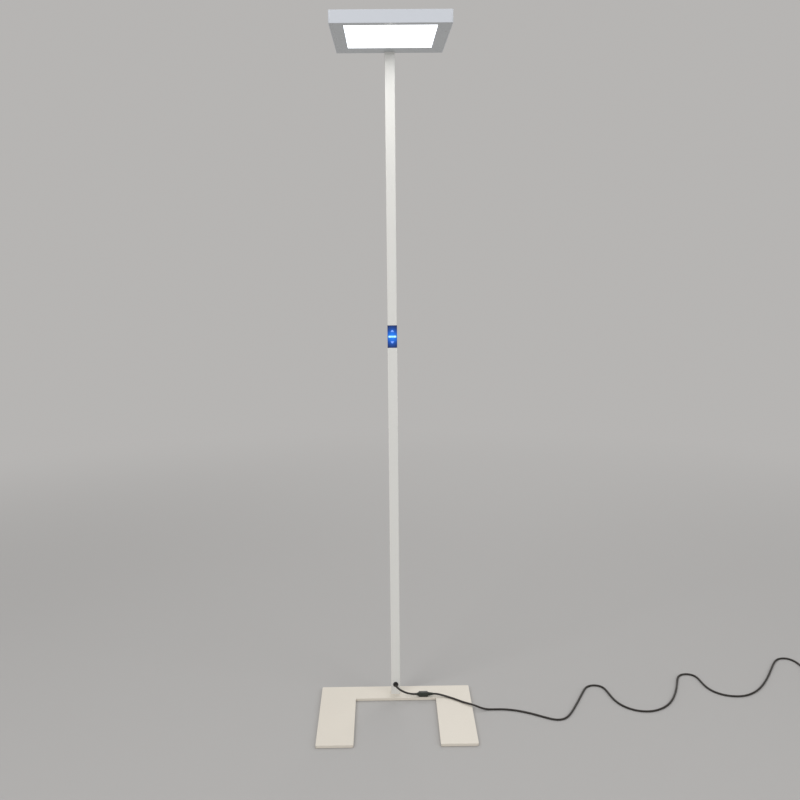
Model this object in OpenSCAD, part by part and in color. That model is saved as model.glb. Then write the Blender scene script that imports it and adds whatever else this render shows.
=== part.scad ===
// Office floor lamp: a flat light head on a slim square pole, on a U-shaped foot
// plate. The pole axis is the Z axis, the foot rests on Z = 0, the head reaches
// towards -Y, and the mains lead runs out towards +X.

/* [Overall] */
// Height of the lamp from the floor to the top of the head
lamp_h = 1950; // [1800:5:2100]

/* [Head] */
// Width of the head
head_w = 300; // [280:2:340]
// Length of the head, from its front edge to its back edge
head_l = 520; // [480:5:620]
// Height of the head
head_t = 31.5; // [29:0.5:40]
// Wall of the head shell
shell_wall = 2; // [1.5:0.25:2.5]
// Corner radius of the head shell, seen from above
head_r = 4; // [3:0.5:8]
// Plain margin in front of the light window
margin_front = 36; // [30:1:50]
// Plain margin on each side of the light window
margin_side = 35.5; // [34:0.5:42]
// Plain zone behind the light window, over the driver and the pole
margin_back = 101; // [98:1:120]
// Thickness of the underside frame
frame_t = 2; // [1.5:0.25:3]
// Width of the ledge on which the diffuser rests
diffuser_seat = 6; // [4:0.5:8]
// Thickness of the diffuser flange
diffuser_t = 1.5; // [1:0.25:2]
// Thickness of the light guide
guide_t = 4; // [3:0.5:5]
// Spacing of the light-emitting diodes along a board
led_pitch = 15; // [12:1:20]
// Width of the bracket plate that joins the head to the pole
bracket_w = 90; // [84:2:100]
// Length of the bracket plate
bracket_l = 70; // [64:1:76]
// Thickness of the bracket plate
bracket_t = 4; // [3:0.5:5]
// Depth of the bracket spigot inside the pole
spigot_l = 70; // [60:1:90]
// Height of the driver case
driver_h = 20; // [16:1:21]

/* [Pole] */
// Width of the square pole
pole_w = 28; // [27:0.5:32]
// Wall of the pole
pole_wall = 2; // [1.5:0.25:2.25]
// Radius of the pole's long edges
pole_r = 1.5; // [1:0.25:2]
// Wall of the core that joins the two halves of the pole
core_wall = 2.5; // [2:0.25:3]
// Depth of the core inside each half of the pole
core_in = 60; // [50:1:80]

/* [Control] */
// Height of the middle of the control above the floor
control_z = 1113; // [1050:1:1160]
// Height of the control
control_h = 66; // [66:1:74]
// Thickness of the glossy cover
cover_t = 1.5; // [1.25:0.25:1.75]
// Width of a push key
key_w = 20; // [17:0.5:20]
// Height of a push key
key_h = 22; // [18:0.5:23]
// Distance from the middle of the control to the middle of a key
key_rise = 16.5; // [15:0.25:17.5]
// How far a key travels
key_travel = 0.6; // [0.4:0.1:0.8]
// Width of the symbol on a key
symbol_w = 10; // [8:0.5:12]
// Height of the symbol on a key
symbol_h = 5.5; // [4:0.5:7]
// Height of the light bar
bar_h = 5; // [3:0.25:6]
// Width of the light bar
bar_w = 24; // [22:0.5:24.5]

/* [Foot] */
// Width of the foot plate
foot_w = 456; // [400:2:520]
// Depth of the foot plate, from front to back
foot_d = 402; // [360:2:460]
// Depth of the back beam of the foot plate
beam_d = 90; // [80:1:100]
// Width of each leg of the foot plate
leg_w = 106; // [96:1:118]
// Thickness of the foot plate
foot_t = 8; // [6:0.5:10]
// Corner radius of the foot plate
foot_r = 4; // [3:0.5:8]
// Thickness of the soft pads under the foot plate
pad_t = 0.8; // [0.5:0.1:1.5]
// Distance from the edge of the foot plate to a pad
pad_inset = 6; // [4:1:10]
// Height of the steel block in the foot of the pole
block_h = 60; // [56:1:80]
// Size of the bolts that hold the block
bolt_d = 6; // [5:0.5:6]
// Distance between the two bolts
bolt_gap = 13; // [12.5:0.25:13]

/* [Mains lead] */
// Diameter of the mains lead
cord_d = 6; // [5.5:0.1:6.4]
// Height of the grommet above the floor
grommet_z = 40; // [38:0.5:44]
// Diameter of the grommet's outer flange
grommet_d = 16; // [14:0.5:18]
// Turn radius of the inner layers of the coil
coil_r = 28.5; // [27:0.5:32]
// Diameter of a plug pin
pin_d = 4.8; // [4.8:0.1:5]
// Distance between the plug pins
pin_gap = 19; // [18.5:0.5:19.5]
// Length of a plug pin
pin_l = 19; // [18:0.5:20]

/* [Hidden] */
$fn = 48;

// Clearances
eps = 1;            // how far a cutting tool runs past a face
slip = 0.1;         // between pieces that slide together once, in assembly
running = 0.25;     // around a key in its window
screw_play = 0.05;  // around a screw in its hole
cable_play = 1;     // around a cable in its bore
part_gap = 2;       // between pieces inside the head
board_play = 0.2;   // above and below an LED board
socket_share = 0.75;    // radius of a screw's socket, as a share of the shank's

// Heights
foot_top = pad_t + foot_t;
head_z = lamp_h - head_t;
head_in = lamp_h - shell_wall;      // inner face of the head's top
control_lo = control_z - control_h / 2;
control_hi = control_z + control_h / 2;

// Head outline, as Y of its edges
pole_half = pole_w / 2;
head_back = pole_half;
head_front = head_back - head_l;
head_mid = (head_back + head_front) / 2;

// Light window and the layers that lie over it
win_w = head_w - 2 * margin_side;
win_front = head_front + margin_front;
win_back = head_back - margin_back;
win_l = win_back - win_front;
win_mid = (win_back + win_front) / 2;
guide_w = win_w + 2 * diffuser_seat;
guide_l = win_l + 2 * diffuser_seat;
frame_top = head_z + frame_t;
guide_z = frame_top + diffuser_t;
reflector_t = 0.5;
reflector_z = guide_z + guide_t;
panel_z = reflector_z + reflector_t;
panel_t = 1.5;

// LED boards and rails on both long sides
led_t = 1;
led_air = 0.3;
board_t = 1.2;
rail_w = 6;
board_x = guide_w / 2 + led_air + led_t;
rail_x = board_x + board_t;
rail_h = panel_z - frame_top;
panel_w = 2 * (rail_x + rail_w);
led_size = [led_t, 3, 2.6];
led_count = floor((guide_l - led_pitch) / led_pitch);
panel_screw_n = 4;
panel_screw_r = 1.25;
panel_screw_l = 5;

// Screws that hold the frame up in the shell
frame_screw_n = 5;
frame_screw_r = 1.5;
frame_screw_l = 12;
boss_r = 4;
boss_inset = 10;        // from the side or the back of the head
boss_x = head_w / 2 - boss_inset;
boss_front = head_front + 1.5 * boss_inset;
boss_back = head_back - boss_inset;

// Head bracket
bracket_back = head_back - shell_wall - part_gap;
bracket_front = bracket_back - bracket_l;
bracket_z = frame_top;
post_r = 6;
post_edge = 1;          // between a post and the side of the bracket plate
post_x = bracket_w / 2 - post_r - post_edge;
post_inset = post_r + post_edge / 2;
bracket_screw_r = 2;
bracket_screw_l = 12;

// Driver, dimmer module and terminal block, hung from the head's top
gear_gap = 6;
driver_w = 84;
driver_d = 66;
driver_x = bracket_w / 2 + gear_gap;
driver_inset = 12;      // from the back of the bracket plate to the driver
driver_front = bracket_back - driver_inset - driver_d;
dimmer_w = 66;
dimmer_d = 60;
dimmer_h = 16;
dimmer_front = bracket_back - 2 * part_gap - dimmer_d;
terminal = [56, 16, 14];
terminal_back = bracket_front - part_gap;
terminal_front = terminal_back - terminal[1];

// Pole, its core and the spigot of the head bracket
pole_in = pole_w - 2 * pole_wall;
core_w = pole_in - 2 * slip;
core_hole = core_w - 2 * core_wall;
core_r = 1;             // of the long edges of the core and of the foot block
set_r = 2.5;
set_l = 5.5;
set_inset = 14;         // from an end of the block or the spigot to its set screw
set_gap = 0.2;          // between a set screw and the cable's space
set_sunk = 0.3;         // of a set screw below the face of the pole
set_socket = [1.4, 2];  // radius and depth of a set screw's socket
set_z = [
    foot_top + set_inset, foot_top + block_h - set_inset, control_lo - core_in / 2,
    control_hi + core_in / 2, head_z - spigot_l + set_inset, head_z - set_inset
];

// Control, from its front face inwards
front = -pole_half;
cover_in = front + cover_t;
window_side = 1;        // of the core left beside the window
window_end = 2;         // of the control left above and below the window
board_end = 4;          // of the control left above and below the board
core_window = core_w - 2 * window_side;
window_h = control_h - 2 * window_end;
key_flange = 0.7;       // how far the flange of a key reaches past its face
key_flange_t = 0.9;
key_flange_gap = 0.2;   // between the flange and the cover
key_flange_y = cover_in + key_flange_gap;
key_stem_r = 2.5;
board_size = [core_hole, 1.6, control_h - 2 * board_end];
board_y = -8.2;         // front face of the control board
switch_size = [6, 1.7, 6];
switch_y = board_y - switch_size[1];
stem_gap = key_travel + slip;
symbol_t = 1.2;
symbol_top = 0.35;      // width of a symbol's narrow end, as a share of its wide end
bar_foot_w = 18;
small_led = [2, 0.6, 1.4];
small_led_x = 6;        // from the middle of the board to an outer LED

// Cables inside the pole
cord_r = cord_d / 2;
supply_y = 4;
supply_bend = 16;
supply_top_bend = 12;
supply_drop = 7;        // from the inside of the head's top
supply_top_z = head_in - supply_drop;
signal_d = 3.5;
signal_x = -6;
signal_y = board_y + board_size[1] + signal_d / 2 + slip;
signal_bend = 8;
signal_drop = 12;       // from the inside of the head's top
signal_top_z = head_in - signal_drop;

// Foot
foot_back = beam_d / 2;
foot_front = foot_back - foot_d;
leg_x = foot_w / 2 - leg_w / 2;
block_slot_w = cord_d + 5 * cable_play;
block_slot_y = supply_y + cord_r + cable_play;
block_slot_z = grommet_z - cord_r - 2 * cable_play;
bolt_r = bolt_d / 2;
bolt_up = 16;           // how far a bolt reaches into the block
bolt_room = 1;          // beyond the tip of a bolt
bolt_head_r = bolt_d;

// Grommet
grommet_out = 3;
grommet_rim = 1.5;
grommet_neck_r = 5;

// Inline coupler, lying along +X on the foot plate
coupler_x = 63;
coupler_y = -34;
coupler_w = 15;
coupler_r = 4.5;
coupler_z = foot_top + coupler_w / 2;
relief_in = 7;
socket_l = 14;
plug_l = 14;
relief_out = 15;
relief_root = 3;        // skin of a relief over the cord, at the body
relief_skin = 0.8;      // the same, at the relief's end
coupler_joint = coupler_x + relief_in + socket_l;

// Height of the mains lead's middle where it lies on the foot plate
on_plate = foot_top + cord_r;

// Route of the short lead, from the grommet to the coupler
lead_route = [
    [0, -17, grommet_z], [0, -24, grommet_z], [5, -37, 38], [19, -46, 31],
    [36, -42, 22], [51, coupler_y, coupler_z], [coupler_x, coupler_y, coupler_z]
];
// Route of the mains lead, from the coupler over the foot plate and along the floor
mains_route = [
    [113, coupler_y, coupler_z], [127, coupler_y, coupler_z], [152, -42, on_plate],
    [180, -65, on_plate], [206, -92, on_plate], [234, -116, 15], [264, -125, 3],
    [300, -121, 3], [350, -126, 3], [410, -160, 3], [460, -204, 3], [494, -200, 3],
    [518, -158, 3], [550, -80, 3], [578, -8, 3], [594, 34, 3], [621, 48, 3],
    [648, 34, 3], [655, -6, 3], [665, -92, 3], [706, -148, 3], [764, -160, 3],
    [826, -110, 3], [870, -4, 3], [892, 76, 3], [904, 112, 3], [931, 126, 3],
    [958, 112, 3], [963, 72, 3], [968, 0, 3], [1004, -50, 3], [1066, -62, 3],
    [1128, -10, 3], [1190, 96, 3], [1242, 206, 3], [1268, 242, 3], [1302, 244, 3],
    [1321, 208, 3], [1324, 140, 3], [1324, 80, 3]
];
// Route of the last stretch, from the coil to the plug
tail_route = [
    [1324, 80, 15], [1324, 68, 15], [1324, 50, 9], [1324, 32, 3.4], [1324, 12, 3],
    [1324, -8, 3], [1324, -26, 8], [1324, -42, 17], [1324, -56, 18.5], [1324, -68, 18.5]
];
lead_rings = 12;
mains_rings = 60;
tail_rings = 11;
tube_sides = 8;

// Coil: two layers of two turns each
coil_turns = 2;
coil_out = coil_r + (coil_turns - 1) * cord_d;
coil_start = mains_route[len(mains_route) - 1];
coil_at = [coil_start[0] + coil_out, coil_start[1], 0];
coil_h = 2 * cord_d;
coil_edge = 1.5;
tie_w = 9;
tie_t = 1;
tie_under = 0.6;        // of the tie under the coil, which sits in it that much

// Plug, lying with its pins towards -Y
plug_end = tail_route[len(tail_route) - 1];
plug_r = 18.5;
plug_face_l = 15;
plug_grip_r = 13;
plug_grip_l = 20;
plug_relief_l = 28;
plug_relief_r = 5.5;
plug_shoulder = 2;      // step from the relief to the grip
pin_root = 6;           // of a pin inside the plug
earth_w = 5;
earth_t = 0.8;
earth_depth = 2;        // of the recess that holds an earth contact

// ---------------------------------------------------------------- shapes

// Rectangle with round corners, centred
module outline(w, d, r) {
    square([w - 2 * r, d], center = true);
    square([w, d - 2 * r], center = true);
    for (x = [-1, 1], y = [-1, 1])
        translate([x * (w / 2 - r), y * (d / 2 - r)]) circle(r);
}

// Flat slab with round corners, standing on z = 0
module slab(w, d, t, r) {
    linear_extrude(t) outline(w, d, r);
}

// Block given by its centre in X, its lowest Y and Z, and its size
module block(x, y, z, size) {
    translate([x - size[0] / 2, y, z]) cube(size);
}

// Countersunk screw with its flat head at z = 0 and its shank towards +Z
module countersunk(r, head_r, l) {
    difference() {
        union() {
            cylinder(r = r, h = l);
            cylinder(r1 = head_r, r2 = r, h = head_r - r);
        }
        translate([0, 0, -eps]) cylinder(r = socket_share * r, h = eps + head_r / 2, $fn = 6);
    }
}

// The space of such a screw, run on past both ends
module countersink(r, head_r, l) {
    translate([0, 0, -eps]) cylinder(r = r, h = l + 2 * eps);
    cylinder(r1 = head_r, r2 = r, h = head_r - r);
    translate([0, 0, -eps]) cylinder(r = head_r, h = eps);
}

// Round bar with a quarter bend, lying in the YZ plane: it comes along +Y to the
// bend, which starts at the origin, and leaves upwards
module quarter_bend(r, bend) {
    translate([0, 0, bend]) rotate([0, 90, 0]) rotate_extrude(angle = 90)
        translate([bend, 0]) circle(r);
}

// Uniform cubic spline through a route, resting on its first and last point
function knot(route, i) = route[max(0, min(len(route) - 1, i - 2))];
function spline(route, u) =
    let (i = min(floor(u), len(route)), t = u - i)
    (pow(1 - t, 3) * knot(route, i)
        + (3 * pow(t, 3) - 6 * t * t + 4) * knot(route, i + 1)
        + (3 * t + 3 * t * t - 3 * pow(t, 3) + 1) * knot(route, i + 2)
        + pow(t, 3) * knot(route, i + 3)) / 6;
function unit(v) = v / norm(v);
function heading(route, u) =
    let (span = len(route) + 1, du = 0.02)
    unit(spline(route, min(span, u + du)) - spline(route, max(0, u - du)));
function ring(route, u, r) =
    let (middle = spline(route, u), along = heading(route, u),
        side = unit(cross(along, [0, 0, 1])), up = cross(side, along))
    [for (k = [0 : tube_sides - 1]) let (a = 360 * k / tube_sides)
        middle + r * (cos(a) * side + sin(a) * up)];

// Tube swept along a route in a number of rings
module tube(route, r, rings) {
    points = [for (i = [0 : rings - 1])
        each ring(route, (len(route) + 1) * i / (rings - 1), r)];
    sides = [for (i = [0 : rings - 2], k = [0 : tube_sides - 1])
        let (a = i * tube_sides, n = (k + 1) % tube_sides)
        each [[a + k, a + n, a + tube_sides + k],
            [a + n, a + tube_sides + n, a + tube_sides + k]]];
    first = [for (k = [tube_sides - 1 : -1 : 0]) k];
    last = [for (k = [0 : tube_sides - 1]) (rings - 1) * tube_sides + k];
    polyhedron(points, concat(sides, [first, last]), convexity = 8);
}

// ---------------------------------------------------------------- head

// Places a child at each screw that holds the frame
module at_frame_screws() {
    for (x = [-boss_x, boss_x], i = [0 : frame_screw_n - 1])
        translate([x, boss_front + (boss_back - boss_front) * i / (frame_screw_n - 1), 0])
            children();
}

// Places a child at each screw that holds the bracket
module at_bracket_screws() {
    for (x = [-post_x, post_x], y = [bracket_front + post_inset, bracket_back - post_inset])
        translate([x, y, 0]) children();
}

module head_housing() {
    color("whitesmoke") difference() {
        union() {
            difference() {
                translate([0, head_mid, head_z]) slab(head_w, head_l, head_t, head_r);
                translate([0, head_mid, head_z - eps])
                    slab(head_w - 2 * shell_wall, head_l - 2 * shell_wall,
                        head_t - shell_wall + eps, head_r - shell_wall / 2);
            }
            translate([0, 0, frame_top]) at_frame_screws()
                cylinder(r = boss_r, h = head_in - frame_top);
        }
        translate([0, 0, frame_top - eps]) at_frame_screws()
            cylinder(r = frame_screw_r, h = frame_screw_l + eps);
        translate([0, 0, lamp_h]) mirror([0, 0, 1]) at_bracket_screws()
            countersink(bracket_screw_r, 2 * bracket_screw_r, shell_wall);
    }
}

module head_frame() {
    w = head_w - 2 * shell_wall - 2 * slip;
    l = head_l - 2 * shell_wall - 2 * slip;
    color("gainsboro") difference() {
        translate([0, head_mid, head_z]) slab(w, l, frame_t, head_r - shell_wall / 2);
        block(0, win_front, head_z - eps, [win_w, win_l, frame_t + 2 * eps]);
        block(0, -core_w / 2 - slip, head_z - eps, [core_w + 2 * slip, pole_w, frame_t + 2 * eps]);
        translate([0, 0, head_z]) at_frame_screws()
            countersink(frame_screw_r, 2 * frame_screw_r, frame_t);
    }
}

module diffuser() {
    recess = 0.3;
    color("white") union() {
        block(0, win_mid - guide_l / 2, frame_top, [guide_w, guide_l, diffuser_t]);
        block(0, win_mid - win_l / 2 + slip, head_z + recess,
            [win_w - 2 * slip, win_l - 2 * slip, frame_t]);
    }
}

module light_guide() {
    color("aliceblue") block(0, win_mid - guide_l / 2, guide_z, [guide_w, guide_l, guide_t]);
}

module reflector_sheet() {
    color("white") block(0, win_mid - guide_l / 2, reflector_z, [guide_w, guide_l, reflector_t]);
}

// Places a child at each screw of the panel's back plate
module at_panel_screws() {
    for (x = [-1, 1], i = [0 : panel_screw_n - 1])
        translate([x * (rail_x + rail_w / 2),
            win_mid - guide_l / 2 + guide_l * (i + 0.5) / panel_screw_n, panel_z + panel_t])
            children();
}

module panel_back() {
    color("silver") difference() {
        block(0, win_mid - guide_l / 2, panel_z, [panel_w, guide_l, panel_t]);
        at_panel_screws() translate([0, 0, -panel_t - eps])
            cylinder(r = panel_screw_r + screw_play, h = panel_t + 2 * eps);
    }
}

module heat_rails() {
    color("silver") difference() {
        for (x = [-1, 1])
            block(x * (rail_x + rail_w / 2), win_mid - guide_l / 2, frame_top,
                [rail_w, guide_l, rail_h]);
        at_panel_screws() translate([0, 0, -panel_screw_l - panel_t])
            cylinder(r = panel_screw_r + screw_play, h = panel_screw_l + panel_t + eps);
    }
}

module panel_screws() {
    head_h = 1.2;
    color("dimgray") at_panel_screws() {
        cylinder(r = 2 * panel_screw_r, h = head_h);
        translate([0, 0, -panel_screw_l]) cylinder(r = panel_screw_r, h = panel_screw_l);
    }
}

module led_boards() {
    color("white") for (x = [-1, 1])
        block(x * (board_x + board_t / 2), win_mid - guide_l / 2, frame_top + board_play,
            [board_t, guide_l, rail_h - 2 * board_play]);
}

module leds() {
    row = (led_count - 1) * led_pitch;
    color("khaki") for (x = [-1, 1], i = [0 : led_count - 1])
        block(x * (board_x - led_t / 2), win_mid - row / 2 + i * led_pitch - led_size[1] / 2,
            guide_z + guide_t / 2 - led_size[2] / 2, led_size);
}

module frame_screws() {
    color("lightgray") translate([0, 0, head_z]) at_frame_screws()
        countersunk(frame_screw_r - screw_play, 2 * frame_screw_r - screw_play,
            frame_screw_l);
}

module head_bracket() {
    color("silver") difference() {
        union() {
            block(0, bracket_front, bracket_z, [bracket_w, bracket_l, bracket_t]);
            at_bracket_screws() translate([0, 0, bracket_z])
                cylinder(r = post_r, h = head_in - bracket_z);
            translate([0, 0, head_z - spigot_l])
                slab(core_w, core_w, spigot_l + frame_t + bracket_t / 2, pole_r);
        }
        translate([0, supply_y, head_z - spigot_l - eps])
            cylinder(r = cord_r + cable_play, h = spigot_l + head_t);
        translate([signal_x, signal_y, head_z - spigot_l - eps])
            cylinder(r = signal_d / 2 + cable_play, h = spigot_l + head_t);
        translate([0, 0, head_in - bracket_screw_l]) at_bracket_screws()
            cylinder(r = bracket_screw_r, h = bracket_screw_l + eps);
        for (z = [set_z[4], set_z[5]])
            set_screw_hole(z);
    }
}

module bracket_screws() {
    color("lightgray") translate([0, 0, lamp_h]) mirror([0, 0, 1]) at_bracket_screws()
        countersunk(bracket_screw_r - screw_play, 2 * bracket_screw_r - screw_play,
            bracket_screw_l);
}

module driver() {
    ear = 10;
    ear_t = 2;
    ear_hole_r = 2;
    entry = [12, 5, 8];
    color("white") difference() {
        union() {
            translate([driver_x + ear, driver_front, head_in - driver_h])
                cube([driver_w - 2 * ear, driver_d, driver_h]);
            translate([driver_x, driver_front, head_in - ear_t])
                cube([driver_w, driver_d, ear_t]);
        }
        for (x = [driver_x + ear / 2, driver_x + driver_w - ear / 2])
            for (y = [driver_front + ear, driver_front + driver_d - ear])
                translate([x, y, head_in - ear_t - eps])
                    cylinder(r = ear_hole_r, h = ear_t + 2 * eps);
        for (x = [driver_x + ear, driver_x + driver_w - ear])
            translate([x - entry[0] / 2, driver_front + driver_d - entry[1], head_in - driver_h - eps])
                cube([entry[0], entry[1] + eps, entry[2] + eps]);
    }
}

module dimmer_module() {
    color("lightgray") translate([-driver_x - dimmer_w, dimmer_front, head_in - dimmer_h])
        cube([dimmer_w, dimmer_d, dimmer_h]);
}

module terminal_block() {
    ways = 5;
    pitch = 10;
    hole_r = 1.8;
    hole_l = 5;
    color("beige") difference() {
        block(0, terminal_front, head_in - terminal[2], terminal);
        for (i = [0 : ways - 1])
            translate([(i - (ways - 1) / 2) * pitch, terminal_front + terminal[1] / 2,
                head_in - terminal[2] - eps])
                cylinder(r = hole_r, h = hole_l + eps);
    }
}

module head_wiring() {
    wire_r = 1.2;
    drop = 9;           // of the wires below the inside of the head's top
    reach = 6;          // straight stretch out of a case
    stub = 3;           // straight stretch out of a board
    shift = 14;         // from the terminals back to the wire entries of the cases
    cross = 4;          // from a bend to the stretch across the head
    start = 12;         // from the driver's side to the long wire
    turn = 30;          // from the left board to the long wire's bend
    wire_z = head_in - drop;
    wire_y = terminal_front + terminal[1] / 2;
    far = terminal_front - reach;
    board_end = win_mid + guide_l / 2;
    board_z = frame_top + rail_h / 2;
    side = board_x + board_t / 2;
    from_x = terminal[0] / 2;
    long_x = driver_x + start;
    color("firebrick") {
        for (x = [-1, 1])
            tube([[x * from_x, wire_y, wire_z], [x * (from_x + reach), wire_y, wire_z],
                [x * (driver_x - reach), wire_y + shift, wire_z],
                [x * driver_x, wire_y + shift, wire_z]], wire_r, 8);
        tube([[side, driver_front, wire_z], [side, driver_front - stub, wire_z],
            [side, board_end + stub, board_z], [side, board_end, board_z]], wire_r, 8);
        tube([[long_x, driver_front, wire_z], [long_x, far, wire_z],
            [driver_x - reach, far - cross, wire_z], [turn - side, far - cross, wire_z],
            [-side, far, wire_z], [-side, board_end + 2 * cross, board_z + stub],
            [-side, board_end + stub, board_z], [-side, board_end, board_z]], wire_r, 16);
    }
}

// ---------------------------------------------------------------- pole

// Threaded hole for a set screw, from the back of the pole to the cable's space
module set_screw_hole(z) {
    translate([0, pole_half - set_l, z]) rotate([-90, 0, 0])
        cylinder(r = set_r, h = set_l + eps);
}

// Square pole between two heights
module pole_tube(lo, hi) {
    difference() {
        translate([0, 0, lo]) slab(pole_w, pole_w, hi - lo, pole_r);
        translate([-pole_in / 2, -pole_in / 2, lo - eps]) cube([pole_in, pole_in, hi - lo + 2 * eps]);
        for (z = set_z)
            set_screw_hole(z);
    }
}

module upper_pole() {
    color("whitesmoke") pole_tube(control_hi, head_z);
}

module lower_pole() {
    color("whitesmoke") difference() {
        pole_tube(foot_top, control_lo);
        translate([0, front - eps, grommet_z]) rotate([-90, 0, 0])
            cylinder(r = grommet_neck_r, h = pole_wall + 2 * eps);
    }
}

module pole_core() {
    lo = control_lo - core_in;
    length = control_h + 2 * core_in;
    color("silver") difference() {
        translate([0, 0, lo]) slab(core_w, core_w, length, core_r);
        translate([-core_hole / 2, -core_hole / 2, lo - eps])
            cube([core_hole, core_hole, length + 2 * eps]);
        block(0, -core_w / 2 - eps, control_z - window_h / 2,
            [core_window, core_wall + eps, window_h]);
        for (z = [set_z[2], set_z[3]])
            set_screw_hole(z);
    }
}

module set_screws() {
    length = set_l - set_gap - set_sunk;
    color("dimgray") for (z = set_z)
        translate([0, pole_half - set_l + set_gap, z]) rotate([-90, 0, 0]) difference() {
            cylinder(r = set_r - screw_play, h = length);
            translate([0, 0, length - set_socket[1]])
                cylinder(r = set_socket[0], h = set_socket[1] + eps, $fn = 6);
        }
}

// ---------------------------------------------------------------- control

// Outline of the control between two depths, over its whole height
module control_slice(from_y, to_y) {
    intersection() {
        translate([0, 0, control_lo]) slab(pole_w, pole_w, control_h, pole_r);
        translate([-pole_w, from_y, control_lo - eps])
            cube([2 * pole_w, to_y - from_y, control_h + 2 * eps]);
    }
}

module control_housing() {
    color("black") difference() {
        control_slice(cover_in, pole_half);
        translate([-pole_in / 2, -pole_in / 2, control_lo - eps])
            cube([pole_in, pole_in, control_h + 2 * eps]);
        block(0, front - eps, control_z - window_h / 2, [core_window, pole_wall + 2 * eps, window_h]);
    }
}

module control_cover() {
    color("black") difference() {
        control_slice(front, cover_in);
        for (side = [-1, 1])
            block(0, front - eps, control_z + side * key_rise - key_h / 2 - running,
                [key_w + 2 * running, cover_t + 2 * eps, key_h + 2 * running]);
        block(0, front - eps, control_z - bar_h / 2 - slip,
            [bar_w + 2 * slip, cover_t + 2 * eps, bar_h + 2 * slip]);
    }
}

module control_board() {
    color("darkgreen") block(0, board_y, control_z - board_size[2] / 2, board_size);
}

module tact_switches() {
    color("dimgray") for (side = [-1, 1])
        block(0, switch_y, control_z + side * key_rise - switch_size[2] / 2, switch_size);
}

module control_leds() {
    color("deepskyblue") {
        for (x = [-small_led_x, 0, small_led_x])
            block(x, board_y - small_led[1], control_z - small_led[2] / 2, small_led);
        for (x = [-small_led_x, small_led_x], side = [-1, 1])
            block(x, board_y - small_led[1],
                control_z + side * key_rise - small_led[2] / 2, small_led);
    }
}

module light_bar() {
    color("lightcyan") union() {
        block(0, front, control_z - bar_h / 2, [bar_w, cover_t, bar_h]);
        block(0, front, control_z - bar_h / 2,
            [bar_foot_w, board_y - small_led[1] - slip - front, bar_h]);
    }
}

// Trapezoid with its narrow end up or down, as a prism through the face of a key;
// with a value for grow it is the hole for that prism
module symbol(side, grow) {
    w = symbol_w / 2 + grow;
    h = symbol_h / 2 + grow;
    top = symbol_top * w;
    translate([0, front + symbol_t, control_z + side * key_rise]) rotate([90, 0, 0])
        linear_extrude(symbol_t + eps * (grow > 0 ? 1 : 0))
            polygon([[-w, -side * h], [w, -side * h], [top, side * h], [-top, side * h]]);
}

// Push key, above or below the light bar
module key(side) {
    face_z = control_z + side * key_rise - key_h / 2;
    color("black") difference() {
        union() {
            block(0, front, face_z, [key_w, key_flange_y + key_flange_t - front, key_h]);
            block(0, key_flange_y, face_z - key_flange,
                [key_w + 2 * key_flange, key_flange_t, key_h + 2 * key_flange]);
            translate([0, key_flange_y, control_z + side * key_rise]) rotate([-90, 0, 0])
                cylinder(r = key_stem_r, h = switch_y - stem_gap - key_flange_y);
        }
        symbol(side, screw_play);
    }
}

module key_up() {
    key(1);
}

module key_down() {
    key(-1);
}

module key_up_symbol() {
    color("deepskyblue") symbol(1, 0);
}

module key_down_symbol() {
    color("deepskyblue") symbol(-1, 0);
}

// ---------------------------------------------------------------- cables in the pole

module supply_cable() {
    bend_y = supply_y - supply_bend;
    rise = grommet_z + supply_bend;
    top = supply_top_z - supply_top_bend;
    color("dimgray") union() {
        translate([0, front - grommet_out, grommet_z]) rotate([-90, 0, 0])
            cylinder(r = cord_r, h = bend_y - front + grommet_out);
        translate([0, bend_y, grommet_z]) quarter_bend(cord_r, supply_bend);
        translate([0, supply_y, rise]) cylinder(r = cord_r, h = top - rise);
        translate([0, supply_y - supply_top_bend, supply_top_z]) mirror([0, 0, 1])
            quarter_bend(cord_r, supply_top_bend);
        translate([0, terminal_back, supply_top_z]) rotate([-90, 0, 0])
            cylinder(r = cord_r, h = supply_y - supply_top_bend - terminal_back);
    }
}

module control_cable() {
    bottom = control_z;
    top = signal_top_z - signal_bend;
    r = signal_d / 2;
    color("gray") union() {
        translate([signal_x, signal_y, bottom]) cylinder(r = r, h = top - bottom);
        translate([signal_x, signal_y, top]) rotate([0, 0, 90]) mirror([0, 0, 1])
            translate([0, signal_bend, -signal_bend]) mirror([0, 1, 0]) quarter_bend(r, signal_bend);
        translate([-driver_x, signal_y, signal_top_z]) rotate([0, 90, 0])
            cylinder(r = r, h = signal_x - signal_bend + driver_x);
    }
}

module grommet() {
    through = grommet_out + pole_wall;
    color([0.08, 0.08, 0.08]) translate([0, front - grommet_out, grommet_z]) rotate([-90, 0, 0])
        difference() {
            union() {
                cylinder(r1 = grommet_d / 2 - grommet_rim, r2 = grommet_d / 2, h = grommet_rim);
                translate([0, 0, grommet_rim])
                    cylinder(r = grommet_d / 2, h = grommet_out - grommet_rim);
                cylinder(r = grommet_neck_r - screw_play, h = through);
            }
            translate([0, 0, -eps]) cylinder(r = cord_r + screw_play, h = through + 2 * eps);
        }
}

// ---------------------------------------------------------------- foot

module at_bolts() {
    for (x = [-bolt_gap / 2, bolt_gap / 2])
        translate([x, 0, pad_t]) children();
}

module foot_block() {
    color("slategray") difference() {
        translate([0, 0, foot_top]) slab(core_w, core_w, block_h, core_r);
        block(0, -core_w, block_slot_z, [block_slot_w, core_w + block_slot_y, block_h]);
        at_bolts() cylinder(r = bolt_r, h = foot_t + bolt_up + bolt_room);
        for (z = [set_z[0], set_z[1]])
            set_screw_hole(z);
    }
}

module foot_bolts() {
    color("dimgray") at_bolts()
        countersunk(bolt_r - screw_play, bolt_head_r - screw_play, foot_t + bolt_up);
}

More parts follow.
